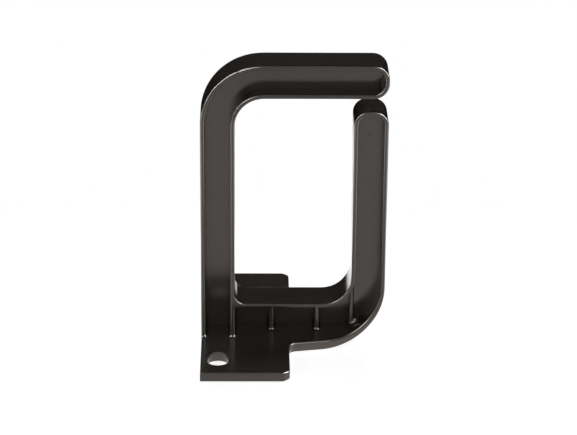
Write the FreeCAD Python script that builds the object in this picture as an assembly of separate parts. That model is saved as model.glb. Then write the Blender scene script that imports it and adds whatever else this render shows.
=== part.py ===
"""Cable management ring: a one-piece moulded ring on a base plate with two screw slots.

Frame: +Z is up from the mounting face, the origin lies on that face midway between the two slots,
+X runs along the ring's width and -Y is the side of the ribs and the deeper hollows. Millimetres.
"""
import FreeCAD, Part
import math
import os

# Ring
overall_width = 46.35         # left face to right face
overall_height = 75.1         # mounting face to the top of the ring
ring_depth = 10.8             # front edge of the flanges to their rear edge
ring_rear = 0.95              # midway between the slots to the flanges' rear edge
arm_width = 8.5               # across each arm, over both flanges
flange_thickness = 1.1
web_thickness = 1.2
foot_channel_depth = 7.35     # front edge of the flanges to the web, at the mounting face
top_channel_depth = 4.65      # the same at the top, as the web leans forward a little
pocket_depth = 8.8            # front edge of the flanges to the upright wall under the saddle
bend_outer_radius = 15.5      # top left bend
bend_inner_radius = 7.3
top_end_radius = 3.9          # corners at the free end of the top arm
right_end_radius = 3.6        # corners at the free end of the right arm
entry_gap = 3.3               # cables are slipped in between the two free ends
lower_bend_radius = 16.1      # outer bend from the plate into the right arm

# Saddle, the floor of the ring, and the ribs that carry it
saddle_height = 11.7          # mounting face to the saddle's top
saddle_thickness = 1.0
saddle_left_radius = 2.7
saddle_right_radius = 7.3
underside_radius = 0.8        # where the saddle's underside runs into the left arm
rib_thickness = 1.2
left_rib_place = 17.8         # ring's left face to the left rib's middle
right_rib_place = 16.95       # ring's right face to the right rib's middle
arm_rib_shift = 0.2           # how far the rib below the right arm stands inside its flange
rib_setback = 4.3             # front edge of the flanges to the front of the ribs
rib_edge_radius = 0.45        # front edges of the ribs

# Base plate
plate_thickness = 2.5
plate_depth = 60.5            # front edge to rear edge
front_tab_width = 22.3        # ring's left face to the front tab's right edge
rear_tab_width = 22.8         # ring's left face to the rear tab's right edge
tab_chamfer = 1.5
chamfer_rounding = 1.4        # where the chamfer runs into the tab's edges
skirt_reach = 3.75            # how far the plate stands proud of the ring beside the front tab
skirt_runout = 1.8            # right arm's outer flange to where the skirt has run out
skirt_blend_length = 1.2      # length over which the skirt turns into line with the ring
skirt_corner_radius = 2.2     # between the front tab and the skirt
slot_spacing = 44.45          # one rack unit, between the middles of the slots
slot_width = 5.3
slot_length = 7.6
slot_inset = 4.4              # ring's left face to the slots' middle line

# Small features
edge_radius = 0.42            # outside edges
root_radius = 1.0             # feet of the flanges, feet and heads of the ribs
wall_share = 0.45             # the most of a wall's thickness that a radius on one edge of it takes
gate_mark_diameter = 1.5      # round mark on the right arm's web
gate_mark_depth = 0.08
gate_mark_drop = 7.7          # top of the right arm to the middle of the mark

overrun = 5.0                 # how far a cutting solid runs past what it cuts
tolerance = 1e-4              # two places closer than this are the same

left = -slot_inset
right = left + overall_width
rear = ring_rear
front = rear - ring_depth
pocket_rear = front + pocket_depth
top_arm_floor = overall_height - arm_width
right_arm_top = top_arm_floor - entry_gap
saddle_underside = saddle_height - saddle_thickness
pocket_top = saddle_height + saddle_right_radius
left_arm_inside = left + arm_width
right_arm_inside = right - arm_width
pocket_left = left_arm_inside - flange_thickness / 2
pocket_right = right_arm_inside + flange_thickness / 2 - arm_rib_shift
top_end_rounding = min(top_end_radius, arm_width / 2)
right_end_rounding = min(right_end_radius, arm_width / 2)
edge_rounding = min(edge_radius, wall_share * min(flange_thickness, saddle_thickness, plate_thickness))
plate_front = -plate_depth / 2
plate_rear = plate_depth / 2
front_tab_right = left + front_tab_width
rear_tab_right = left + rear_tab_width
skirt_end = right - flange_thickness - skirt_runout
skirt_turn = math.atan2(skirt_reach, skirt_end - front_tab_right)
skirt_blend_radius = skirt_blend_length / math.tan(skirt_turn / 2)
inner_bend_radius = lower_bend_radius - plate_thickness
inner_bend_middle = right - flange_thickness - inner_bend_radius


def rounded_face(corners, place):
    """A face inside straight runs joined by tangent arcs; a corner is (u, v, radius)."""
    points = [FreeCAD.Vector(u, v, 0) for u, v, radius in corners]
    arcs = []
    for index, corner in enumerate(points):
        radius = corners[index][2]
        back = (points[index - 1] - corner).normalize()
        ahead = (points[(index + 1) % len(points)] - corner).normalize()
        half_angle = back.getAngle(ahead) / 2
        run = radius / math.tan(half_angle)
        inward = (back + ahead).normalize()
        middle = corner + inward * (radius / math.sin(half_angle) - radius)
        bend = (corner + back * run, middle, corner + ahead * run)
        arcs.append([place(point.x, point.y) for point in bend])
    edges = []
    for index, arc in enumerate(arcs):
        arrive = arcs[index - 1][2]
        if arrive.distanceToPoint(arc[0]) > tolerance:
            edges.append(Part.LineSegment(arrive, arc[0]).toShape())
        if corners[index][2] > 0:
            edges.append(Part.Arc(*arc).toShape())
    return Part.Face(Part.Wire(edges))


def standing_prism(corners, start, finish):
    """A solid of constant X-Z section between two depths along Y."""
    face = rounded_face(corners, lambda x, z: FreeCAD.Vector(x, start, z))
    return face.extrude(FreeCAD.Vector(0, finish - start, 0))


def lying_prism(corners, start, finish):
    """A solid of constant X-Y outline between two heights along Z."""
    face = rounded_face(corners, lambda x, y: FreeCAD.Vector(x, y, start))
    return face.extrude(FreeCAD.Vector(0, 0, finish - start))


def ring_blank():
    """The ring's outer form, from the plate's underside up, with its hollows still filled."""
    return standing_prism([
        (left, 0, 0),
        (left, overall_height, bend_outer_radius),
        (right, overall_height, top_end_rounding),
        (right, top_arm_floor, top_end_rounding),
        (left_arm_inside, top_arm_floor, bend_inner_radius),
        (left_arm_inside, saddle_height, saddle_left_radius),
        (right_arm_inside, saddle_height, saddle_right_radius),
        (right_arm_inside, right_arm_top, right_end_rounding),
        (right, right_arm_top, right_end_rounding),
        (right, 0, lower_bend_radius),
    ], front, rear)


def web_front(height):
    """Where the leaning web's front face stands at a height."""
    return front + foot_channel_depth + (top_channel_depth - foot_channel_depth) * height / overall_height


def wall_front(point):
    """Where the wall behind a point stands: the upright one under the saddle or the leaning web."""
    if pocket_left < point.x < pocket_right and point.z < pocket_top:
        return pocket_rear
    return web_front(point.z)


def pocket_block(start, finish):
    """A block over the width and height of the pockets under the saddle, between two depths."""
    corner = FreeCAD.Vector(pocket_left, start, 0)
    return Part.makeBox(pocket_right - pocket_left, finish - start, pocket_top, corner)


def web():
    """The sheet that closes the ring's hollows in the middle, set back under the saddle."""
    foot, top = web_front(0), web_front(overall_height)
    section = [
        FreeCAD.Vector(left, foot, 0),
        FreeCAD.Vector(left, top, overall_height),
        FreeCAD.Vector(left, top + web_thickness, overall_height),
        FreeCAD.Vector(left, foot + web_thickness, 0),
    ]
    sheet = Part.Face(Part.makePolygon(section + section[:1])).extrude(FreeCAD.Vector(overall_width, 0, 0))
    back_wall = pocket_block(pocket_rear, pocket_rear + web_thickness)
    return sheet.cut(pocket_block(front - overrun, rear + overrun)).fuse(back_wall)


def left_channel():
    """The space inside the left and top arms, from front to rear."""
    wall = flange_thickness
    return standing_prism([
        (left + wall, plate_thickness, 0),
        (left + wall, overall_height - wall, bend_outer_radius - wall),
        (right - wall, overall_height - wall, top_end_rounding - wall),
        (right - wall, top_arm_floor + wall, top_end_rounding - wall),
        (left_arm_inside - wall, top_arm_floor + wall, bend_inner_radius + wall),
        (left_arm_inside - wall, plate_thickness, 0),
    ], front - overrun, rear + overrun)


def ribs():
    """The two ribs under the saddle and the one that carries on below the right arm's inner flange."""
    rib_places = [
        (left + left_rib_place, rib_thickness),
        (right - right_rib_place, rib_thickness),
        (pocket_right, flange_thickness),
    ]
    rib_front = front + rib_setback
    rib_rear = pocket_rear + web_thickness / 2
    solids = []
    for middle, thickness in rib_places:
        rounding = min(rib_edge_radius, wall_share * thickness)
        solids.append(lying_prism([
            (middle - thickness / 2, rib_front, rounding),
            (middle + thickness / 2, rib_front, rounding),
            (middle + thickness / 2, rib_rear, 0),
            (middle - thickness / 2, rib_rear, 0),
        ], 0, pocket_top))
    return solids


def lower_hollow():
    """The space under the saddle and inside the right arm, from front to rear, less the ribs."""
    wall = flange_thickness
    space = standing_prism([
        (left_arm_inside, plate_thickness, 0),
        (left_arm_inside, saddle_underside, underside_radius),
        (right_arm_inside + wall, saddle_underside, saddle_right_radius + wall),
        (right_arm_inside + wall, right_arm_top - wall, right_end_rounding - wall),
        (right - wall, right_arm_top - wall, right_end_rounding - wall),
        (right - wall, plate_thickness, inner_bend_radius),
    ], front - overrun, rear + overrun)
    return space.cut(ribs())


def base_strip():
    """The plate and the bend that carries it up into the right arm's outer flange."""
    section = standing_prism([
        (left, 0, 0),
        (right, 0, lower_bend_radius),
        (right, lower_bend_radius, 0),
        (right - flange_thickness, lower_bend_radius, 0),
        (right - flange_thickness, plate_thickness, inner_bend_radius),
        (left, plate_thickness, 0),
    ], plate_front, plate_rear)
    outline = lying_prism([
        (left, plate_front, 0),
        (front_tab_right - tab_chamfer, plate_front, chamfer_rounding),
        (front_tab_right, plate_front + tab_chamfer, chamfer_rounding),
        (front_tab_right, front - skirt_reach, skirt_corner_radius),
        (skirt_end, front, skirt_blend_radius),
        (right, front, 0),
        (right, rear, 0),
        (rear_tab_right, rear, 0),
        (rear_tab_right, plate_rear - tab_chamfer, chamfer_rounding),
        (rear_tab_right - tab_chamfer, plate_rear, chamfer_rounding),
        (left, plate_rear, 0),
    ], 0, lower_bend_radius)
    return section.common(outline)


def screw_slots():
    """Two slots through the plate, long along Y, with round ends."""
    half_width = slot_width / 2
    half_length = slot_length / 2
    slots = []
    for middle in (-slot_spacing / 2, slot_spacing / 2):
        slots.append(lying_prism([
            (-half_width, middle - half_length, half_width),
            (half_width, middle - half_length, half_width),
            (half_width, middle + half_length, half_width),
            (-half_width, middle + half_length, half_width),
        ], -overrun, plate_thickness + overrun))
    return slots


def gate_mark():
    """The shallow round mark on the right arm's web."""
    across = (right_arm_inside + right) / 2
    height = right_arm_top - gate_mark_drop
    start = FreeCAD.Vector(across, web_front(height) - overrun, height)
    inward = FreeCAD.Vector(0, 1, 0)
    return Part.makeCylinder(gate_mark_diameter / 2, overrun + gate_mark_depth, start, inward)


def points_along(edge):
    """The two ends of an edge and three points between them."""
    start, finish = edge.ParameterRange
    return [edge.valueAt(start + (finish - start) * step / 4) for step in range(5)]


def lies_at(edge, **place):
    """True where an edge keeps to the given x, y or z all along."""
    return all(abs(getattr(point, axis) - value) < tolerance
               for point in points_along(edge) for axis, value in place.items())


def is_inside_corner(solid, edge):
    """True where the two faces of an edge meet in a hollow, not in a ridge."""
    middle = points_along(edge)[2]
    normals = []
    for face in solid.ancestorsOfType(edge, Part.Face):
        normals.append(face.normalAt(*face.Surface.parameter(middle)))
    if len(normals) != 2 or normals[0].isEqual(normals[1], 0.05):
        return False
    probe = middle + (normals[0] - normals[1]) * (edge_radius / 10)
    return solid.isInside(probe, tolerance, False)


def on_floor(point):
    """True on the plate's top and on the inside of the lower bend."""
    if point.x <= inner_bend_middle + tolerance:
        return abs(point.z - plate_thickness) < tolerance
    reach = math.hypot(point.x - inner_bend_middle, point.z - lower_bend_radius)
    return point.z < lower_bend_radius and abs(reach - inner_bend_radius) < tolerance


def on_underside(point):
    """True on the level part of the saddle's underside."""
    return abs(point.z - saddle_underside) < tolerance


def rounded(solid, radius, chosen):
    """The solid with a radius on the chosen edges and on all that run on smoothly from them."""
    edges = [edge for edge in solid.Edges if chosen(edge)]
    return solid.makeFillet(radius, edges).Solids[0]


def round_channel_rims(solid):
    """The inner edges of both hollows, which run on round the plate's upper edge."""
    return rounded(solid, edge_rounding, lambda edge: lies_at(edge, x=left + flange_thickness, y=front) or (
        lies_at(edge, x=left_arm_inside, y=front) and edge.CenterOfMass.z < saddle_underside))


def reaches_ahead(edge):
    """True where an edge lies in front of the wall behind it, and not all along the wall's foot."""
    gaps = [wall_front(point) - point.y for point in points_along(edge)]
    return min(gaps) > -tolerance and max(gaps) > tolerance


def round_roots(solid):
    """The feet of the flanges and the feet and heads of the ribs, as far back as the wall."""
    for surface in (on_floor, on_underside):
        solid = rounded(solid, root_radius, lambda edge: all(map(surface, points_along(edge))) and (
            reaches_ahead(edge) and is_inside_corner(solid, edge)))
    return solid


def round_outer_edges(solid):
    """The ring's outer edges, front and rear, and the edges of the rear tab."""
    solid = rounded(solid, edge_rounding, lambda edge: lies_at(edge, x=left, y=front))
    solid = rounded(solid, edge_rounding, lambda edge: lies_at(edge, x=left, y=rear))
    for level in (plate_thickness, 0):
        solid = rounded(solid, edge_rounding, lambda edge: lies_at(edge, y=plate_rear, z=level))
    return solid


ring = ring_blank().cut([left_channel().cut(web()), lower_hollow().cut(web())])
blank = ring.fuse(base_strip()).removeSplitter().Solids[0]
body = round_outer_edges(round_roots(round_channel_rims(blank)))
body = body.cut(screw_slots() + [gate_mark()]).Solids[0]

os.makedirs("parts", exist_ok=True)
body.exportStep("parts/cable_ring.step")
print("cable_ring:", "valid" if body.isValid() else "not valid", body.ShapeType)
print("faces", len(body.Faces), "volume", round(body.Volume, 1), "cubic mm")
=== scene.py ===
# %% [markdown]
# # A cable ring in black plastic
# The object is one moulding: a base plate with two screw slots, a left arm that rises from the plate and
# bends over into a top arm, a saddle on three ribs, and a right arm that leaves a gap to slip cables in.
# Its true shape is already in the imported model, with every bend, rib and rounded edge, so nothing is
# modelled a second time here. What is left to make is the plastic and the light. Loading the model first
# gives a fixed frame in metres, and the camera, the lamps and the patterns in the plastic are all placed
# by it.

# %% Load the moulding
import math

import bmesh
import bpy
from mathutils import Matrix, Vector


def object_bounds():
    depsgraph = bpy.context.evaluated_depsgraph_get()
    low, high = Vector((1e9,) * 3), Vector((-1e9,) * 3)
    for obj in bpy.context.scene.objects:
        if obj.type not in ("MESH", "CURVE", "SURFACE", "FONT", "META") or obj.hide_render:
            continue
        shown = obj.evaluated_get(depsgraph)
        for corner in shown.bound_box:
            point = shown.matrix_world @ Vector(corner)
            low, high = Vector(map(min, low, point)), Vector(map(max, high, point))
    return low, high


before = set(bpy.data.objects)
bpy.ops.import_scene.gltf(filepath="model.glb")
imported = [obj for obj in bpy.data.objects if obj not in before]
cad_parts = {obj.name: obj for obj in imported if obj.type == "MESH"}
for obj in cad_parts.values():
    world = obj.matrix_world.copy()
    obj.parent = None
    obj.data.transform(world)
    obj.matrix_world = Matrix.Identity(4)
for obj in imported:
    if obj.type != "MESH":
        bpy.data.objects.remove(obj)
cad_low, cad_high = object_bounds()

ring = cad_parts["cable_ring"]
ring_middle = (cad_low + cad_high) / 2
scene = bpy.context.scene
scene.view_settings.view_transform = "Standard"
print("moulding", ring.name, "with", len(ring.data.polygons), "faces")

# %% [markdown]
# ## The camera
# The picture was taken with a long lens from a little above the ring, almost square to its ribbed side. A
# long lens flattens the perspective, so that the arms stay nearly parallel. The camera is placed by a
# distance and three angles, because those are what a photographer sets. A Track To constraint could aim
# it, but it has no roll, and the small roll of the picture is easy to give in a matrix made from the three
# axes of the camera.

# %% Place the camera
lens_mm = 149.09
sensor_mm = 36.0
camera_distance = 0.6047
camera_elevation = math.radians(22.708)
camera_turn = math.radians(-1.023)
camera_roll = math.radians(0.485)
lens_axis_at = Vector((0.01768, 0.0, 0.03132))
nearest_seen = camera_distance / 100

look = Vector((0, math.cos(camera_elevation), -math.sin(camera_elevation)))
look = Matrix.Rotation(camera_turn, 3, "Z") @ look
level = look.cross(Vector((0, 0, 1))).normalized()
upright = level.cross(look)
camera_x = math.cos(camera_roll) * level + math.sin(camera_roll) * upright
camera_y = math.cos(camera_roll) * upright - math.sin(camera_roll) * level

lens = bpy.data.cameras.new("camera")
lens.lens = lens_mm
lens.sensor_width = sensor_mm
lens.clip_start = nearest_seen
camera = bpy.data.objects.new("camera", lens)
turned = Matrix((camera_x, camera_y, -look)).transposed().to_4x4()
camera.matrix_world = Matrix.Translation(lens_axis_at - look * camera_distance) @ turned
scene.collection.objects.link(camera)
scene.camera = camera
print("camera", [round(value, 3) for value in camera.matrix_world.translation])

# %% [markdown]
# ## Sums for shaders
# A shader is a tree of nodes, and even a short sum takes several Math nodes. This class wraps one output
# socket, so that the sum can be written as Python and each operator adds its node. The reflected forms,
# such as `__rsub__`, let a plain number stand first. Every other kind of node comes from the one method
# `node`, which sets its settings before it fills its sockets. `eased` is a short name for the node used
# most here, a smooth step from one value to another. Linking the nodes by hand works too, but then the sum
# can't be read.

# %% Wrap a socket
class Wire:
    """An output socket that can stand in a Python sum."""

    def __init__(self, tree, socket=None):
        self.tree = tree
        self.socket = socket

    def node(self, kind, settings=None, inputs=None, output=0):
        """Adds a node, gives it its settings, then the values or wires of its sockets."""
        made = self.tree.nodes.new(kind)
        for name, value in (settings or {}).items():
            setattr(made, name, value)
        for name, value in (inputs or {}).items():
            if isinstance(value, Wire):
                self.tree.links.new(value.socket, made.inputs[name])
            else:
                made.inputs[name].default_value = value
        return Wire(self.tree, made.outputs[output]) if made.outputs else None

    def sum(self, operation, first, second=0.0):
        """A Math node; an operation on one value, such as ABSOLUTE, leaves out the second."""
        return self.node("ShaderNodeMath", {"operation": operation}, {0: first, 1: second})

    def eased(self, start, finish, low, high):
        """A smooth step from low at start to high at finish, level beyond both."""
        return self.node("ShaderNodeMapRange", {"interpolation_type": "SMOOTHSTEP"}, {
            "Value": self, "From Min": start, "From Max": finish, "To Min": low, "To Max": high})

    def __add__(self, other):
        return self.sum("ADD", self, other)

    def __radd__(self, other):
        return self.sum("ADD", other, self)

    def __sub__(self, other):
        return self.sum("SUBTRACT", self, other)

    def __rsub__(self, other):
        return self.sum("SUBTRACT", other, self)

    def __mul__(self, other):
        return self.sum("MULTIPLY", self, other)

    def __rmul__(self, other):
        return self.sum("MULTIPLY", other, self)


def empty_tree(owner):
    """Clears the node tree of a material or world and returns a wire to build it with."""
    owner.use_nodes = True
    owner.node_tree.nodes.clear()
    return Wire(owner.node_tree)


print("wires ready")

# %% [markdown]
# ## The plastic
# Satin black plastic is nearly all reflection. Its own colour is a warm black, and what the eye reads as
# grey is a pale room mirrored softly in the surface. One flat colour with one roughness would give the
# mirrored room the same edge everywhere, which looks drawn. Real mouldings vary on three scales, and each
# gets a pattern. The coarse one is the flow of the melt: wide patches that cooled a little faster and are a
# little duller. All patterns use Object coordinates, which are metres in the fixed frame, so no unwrapping
# is needed and the pattern runs round the corners without a seam.

# %% Flow of the melt
plastic = bpy.data.materials.new("satin_black_plastic")
wire = empty_tree(plastic)
place = wire.node("ShaderNodeTexCoord", output="Object")

flow_per_metre = 90.0
flow = wire.node("ShaderNodeTexNoise", {"noise_dimensions": "3D"}, {
    "Vector": place, "Scale": flow_per_metre, "Detail": 3.0, "Roughness": 0.55})

# %% [markdown]
# ### Draw marks
# The mould slides off along the arms and leaves faint lines where it rubbed. Squeezing one axis of the
# coordinates stretches round noise into streaks along that axis: here Z, the way the arms stand. A Wave
# texture would give streaks too, but evenly spaced ones, and rubbing never is.

# %% Draw marks along the arms
streaks_per_metre = 520.0
streak_stretch = 0.03
drawn = wire.node("ShaderNodeMapping", inputs={"Vector": place, "Scale": (1.0, 1.0, streak_stretch)})
streaks = wire.node("ShaderNodeTexNoise", {"noise_dimensions": "3D"}, {
    "Vector": drawn, "Scale": streaks_per_metre, "Detail": 2.0, "Roughness": 0.6})

# %% [markdown]
# ### Grain
# The finest scale is the grain of the spark-eroded mould, about a quarter of a millimetre. It is too small
# to see as bumps from here, but it breaks up the mirrored light. A Bump node is enough: displacing the mesh
# would need millions of faces for the same look. The rear and the hidden faces get it too, as the mould had
# it all over.

# %% Grain of the mould
grain_per_metre = 4200.0
grain_height = 0.000001
grain_strength = 0.3
grain = wire.node("ShaderNodeTexNoise", {"noise_dimensions": "3D"}, {
    "Vector": place, "Scale": grain_per_metre, "Detail": 2.0, "Roughness": 0.5})
bumps = wire.node("ShaderNodeBump", inputs={
    "Strength": grain_strength, "Distance": grain_height, "Height": grain})

# %% [markdown]
# ### Dust
# Dust settles only on faces that look up, so the upright part of the surface normal chooses them. A noise
# cut off near its bright end leaves a few specks in an even haze. Scattered grains would do the same with
# real geometry, but from here they would be far smaller than a pixel.

# %% Dust on level faces
dust_lies_from = 0.8
haze = 0.3
specks_per_metre = 1300.0
speck_edge = (0.66, 0.78)
speck_strength = 0.4

faces_up = wire.node("ShaderNodeSeparateXYZ", inputs={
    0: wire.node("ShaderNodeNewGeometry", output="Normal")}, output="Z")
speckle = wire.node("ShaderNodeTexNoise", {"noise_dimensions": "3D"}, {
    "Vector": place, "Scale": specks_per_metre, "Detail": 1.0})
specks = speckle.eased(*speck_edge, 0.0, speck_strength)
dust = faces_up.eased(dust_lies_from, 1.0, 0.0, 1.0) * (haze + specks)

# %% [markdown]
# ### The gate mark
# The gate is where the melt came in: the sprue was broken off there and left a small dull spot on the right
# arm. The model has the shallow dip, and a ball around that place roughens it, which needs no painted mask.

# %% Dull gate mark
gate_at = (0.0377, -0.0045, 0.0556)
gate_reach = 0.0009
gate_core = 0.4 * gate_reach
gate_distance = wire.node("ShaderNodeVectorMath", {"operation": "DISTANCE"}, {0: place, 1: gate_at}, "Value")
gate = gate_distance.eased(gate_core, gate_reach, 1.0, 0.0)
print("gate mark at", gate_at)

# %% [markdown]
# ### Colour
# The patterns now go into one number that mixes two colours. Each swings about the middle of its noise, and
# a weight says how much of it shows. Colour hardly changes: a warm black, a shade paler in the dust. The
# Mix node has sockets for every kind of data under the same names, so those for colours are called by
# their numbers.

# %% Colour of the plastic
black = (0.036, 0.029, 0.0235, 1)
dusty = (0.075, 0.069, 0.062, 1)
noise_middle = 0.5
paler_dust = 0.15
paler_streaks = 0.1
paler_flow = 0.08
mix_factor, mix_from, mix_to, mix_result = 0, 6, 7, 2

flow_swing = flow - noise_middle
streak_swing = streaks - noise_middle
paler = paler_dust * dust + paler_streaks * streak_swing + paler_flow * flow_swing
colour = wire.node("ShaderNodeMix", {"data_type": "RGBA"}, {
    mix_factor: paler, mix_from: black, mix_to: dusty}, mix_result)
print("colour from", black[:3], "towards", dusty[:3])

# %% [markdown]
# ### All of it in one shader
# The Principled shader takes the sums. Roughness carries most of the life, because on a dark glossy surface
# the eye reads only the reflection. The refractive index is that of a styrene plastic, a little above the
# usual 1.5, and the warm tint of the mirrored light is constant, so both are set on the shader's own
# sockets.

# %% Put the plastic together
satin = 0.2
dull_flow = 0.09
dull_streaks = 0.06
dull_dust = 0.08
dull_gate = 0.25

moulded = satin + dull_flow * flow_swing + dull_streaks * streak_swing
roughness = moulded + dull_dust * dust + dull_gate * gate
shade = wire.node("ShaderNodeBsdfPrincipled", inputs={
    "Base Color": colour,
    "Roughness": roughness,
    "Normal": bumps,
    "IOR": 1.56,
    "Specular Tint": (1.0, 0.93, 0.88, 1),
})
wire.node("ShaderNodeOutputMaterial", inputs={"Surface": shade})
ring.data.materials[0] = plastic
print("plastic", plastic.name, "with", len(plastic.node_tree.nodes), "nodes")

# %% [markdown]
# ## The floor
# The ring stands on white card. A floor lit to pure white would also throw too much light up at the ring,
# so the card is lit at a plain level and a glow that only camera rays see lifts it to white. The soft
# shadow under the ring stays, because the glow only fills up what the lamps leave. The sheet comes first
# and its material after it.

# %% A sheet to stand on
floor_reach = 2.0
sheet = bmesh.new()
bmesh.ops.create_grid(sheet, x_segments=1, y_segments=1, size=floor_reach)
floor_mesh = bpy.data.meshes.new("floor")
sheet.to_mesh(floor_mesh)
sheet.free()
floor = bpy.data.objects.new("floor", floor_mesh)
floor.location.z = cad_low.z
scene.collection.objects.link(floor)
print("floor", 2 * floor_reach, "m wide")

# %% [markdown]
# ### Which card is lit: painted shade and a painted lit lane
# The sides of the arms are seen at a shallow angle, and there they would mirror the card behind the ring as
# white. In the picture they are dark, so beyond a few centimetres that card is painted black to every ray
# but the camera's, as painted shade, though the rear lamp does light it. Only a narrow lane stays white
# further back, a painted lit strip, which the inner side of the right arm mirrors.
# The bands below are places on the floor in metres, between which a value eases from one level to another.

# %% Lit near the ring and along a lane
behind_band = (0.055, 0.08)
lane_middle = 0.028
lane_band = (0.01, 0.018)
lane_end_band = (0.13, 0.2)

white = bpy.data.materials.new("white_card")
wire = empty_tree(white)
spot = wire.node("ShaderNodeTexCoord", output="Object")
spot_x = wire.node("ShaderNodeSeparateXYZ", inputs={0: spot}, output="X")
spot_y = wire.node("ShaderNodeSeparateXYZ", inputs={0: spot}, output="Y")

# Painted shade: the card turns black behind the ring, and a painted lit lane stays white further back.
near = spot_y.eased(*behind_band, 1.0, 0.0)
lane = wire.sum("ABSOLUTE", spot_x - lane_middle).eased(*lane_band, 1.0, 0.0)
lit = near + (1.0 - near) * lane * spot_y.eased(*lane_end_band, 1.0, 0.0)
print("card lit up to", behind_band[1], "m behind the ring, in the lane up to", lane_end_band[1], "m")

# %% [markdown]
# ### What the plastic mirrors
# The ring's upright faces mirror the card in front of it, and that reflection makes most of the picture. A
# photographer shapes it with pale and dark cards around the object. Here a second glow, which only mirrored
# rays see, does the same. It is brighter close to the ring's feet and at both sides, where the rounded
# edges of the flanges look, and weaker far ahead. Real cards would also work, but they would shade the
# lamps.

# %% Glow for mirrored rays and for the camera
camera_glow = 0.8
mirrored_glow = 1.08
side_glow = 2.6
side_band = (0.03, 0.1)
close_glow = 0.5
close_band = (-0.03, -0.016)
far_ahead_share = 0.4
far_ahead_band = (-0.24, -0.15)

camera_ray = wire.node("ShaderNodeLightPath", output="Is Camera Ray")
glossy_ray = wire.node("ShaderNodeLightPath", output="Is Glossy Ray")
aside = wire.sum("ABSOLUTE", spot_x - ring_middle.x).eased(*side_band, 0.0, side_glow)
close = spot_y.eased(*close_band, 0.0, close_glow)
ahead = spot_y.eased(*far_ahead_band, far_ahead_share, 1.0)
to_camera = camera_ray * (1.0 - (1.0 - camera_glow) * lit)
to_mirror = glossy_ray * (mirrored_glow + aside + close) * ahead * lit
print("glow", camera_glow, "for the camera,", mirrored_glow, "and more for the mirror")

# %% [markdown]
# ### The card
# The card's own colour is painted black where it isn't meant to be lit, a painted shade, and both glows go
# in as its emission. It has no gloss, so that the ring isn't mirrored in it. An Emission shader behind a Mix
# Shader would do too, but one Principled shader keeps it all in one place.

# %% Put the card together
card_white = 0.8
# Painted shade in the Base Color: black wherever the card is not painted as lit.
card = wire.node("ShaderNodeBsdfPrincipled", inputs={
    "Base Color": card_white * lit,
    "Roughness": 1.0,
    "Specular IOR Level": 0.0,
    "Emission Color": to_camera + to_mirror,
    "Emission Strength": 1.0,
})
wire.node("ShaderNodeOutputMaterial", inputs={"Surface": card})
floor_mesh.materials.append(white)
print("card", white.name, "with", len(white.node_tree.nodes), "nodes")

# %% [markdown]
# ## The room
# Above the floor the room is dark, as in a studio: a bright sky would be mirrored in every level face. Only
# the camera sees it white, so that a view over the edge of the floor stays white too.

# %% Dark studio, white to the camera
room_light = 0.02
room = bpy.data.worlds.new("room")
scene.world = room
wire = empty_tree(room)
seen = wire.node("ShaderNodeLightPath", output="Is Camera Ray")
air = wire.node("ShaderNodeBackground", inputs={"Color": (1, 1, 1, 1), "Strength": seen + room_light})
wire.node("ShaderNodeOutputWorld", inputs={"Surface": air})
print("room", room.name)

# %% [markdown]
# ## Softboxes
# An area lamp is a softbox: its size sets how soft the shadow is and how wide its mirror image. Each one is
# placed by the angles from the ring at which it stands and turned to face it. Black plastic needs very
# little light on its colour but bright, narrow lights in its edges, so the lamps are split as a
# photographer splits them. Some light everything a little. Others are strips and spots that only mirrored
# rays meet.

# %% A lamp that faces the ring
def softbox(name, azimuth, elevation, distance, width, height, power, lights="colour and mirror"):
    """Azimuth 0 stands at the camera's side, 90 to the right; lights says which rays meet the lamp."""
    turn = math.radians(azimuth)
    rise = math.radians(elevation)
    out = Vector((math.sin(turn) * math.cos(rise), -math.cos(turn) * math.cos(rise), math.sin(rise)))
    lamp = bpy.data.lights.new(name, "AREA")
    lamp.shape = "RECTANGLE"
    lamp.size = width
    lamp.size_y = height
    lamp.energy = power
    box = bpy.data.objects.new(name, lamp)
    box.location = ring_middle + out * distance
    box.rotation_mode = "QUATERNION"
    box.rotation_quaternion = (-out).to_track_quat("-Z", "Y")
    box.visible_diffuse = "colour" in lights
    box.visible_glossy = "mirror" in lights
    scene.collection.objects.link(box)
    print(name, "at", [round(value, 2) for value in box.location], "with", power, "W for", lights)


# %% [markdown]
# ### Lamps for the colour
# Two low boxes at the sides and one in front fill the hollows. The strongest stands low behind the ring: it
# lights the top, the saddle and the rear tab, while the saddle keeps the front tab in the shade.

# %% Fill lamps
side_box = {"elevation": 28, "distance": 0.5, "width": 0.5, "height": 0.07}
softbox("right_softbox", azimuth=80, power=0.4, **side_box)
softbox("left_softbox", azimuth=-80, power=0.38, **side_box)
softbox("front_softbox", azimuth=0, elevation=28, distance=0.7, width=0.47, height=0.35, power=0.6)
softbox("rear_softbox", azimuth=180, elevation=25, distance=1.2, width=0.6, height=0.6, power=5.4,
        lights="colour")

# %% [markdown]
# ### Lamps for the edges
# A tall strip at each side draws the thin bright lines along the bends, because a rounded edge mirrors a fan
# of directions and the strip crosses each fan once. The two spots higher up catch the fillets at the feet of
# the flanges and ribs. A weak strip overhead draws the level edges, and a faint one low behind the ring
# draws the rear edges.

# %% Edge lamps
side_strip = {"elevation": 32, "distance": 0.5, "width": 0.2, "height": 0.5, "lights": "mirror"}
softbox("right_strip", azimuth=85, power=11.0, **side_strip)
softbox("left_strip", azimuth=-85, power=6.5, **side_strip)
foot_spot = {"elevation": 41, "distance": 0.5, "width": 0.28, "height": 0.28, "lights": "mirror"}
softbox("right_spot", azimuth=42, power=3.0, **foot_spot)
softbox("left_spot", azimuth=-42, power=2.6, **foot_spot)
softbox("top_strip", azimuth=0, elevation=65, distance=0.5, width=0.1, height=0.2, power=0.12,
        lights="mirror")
softbox("rear_strip", azimuth=180, elevation=3, distance=0.8, width=0.2, height=0.08, power=0.04,
        lights="mirror")
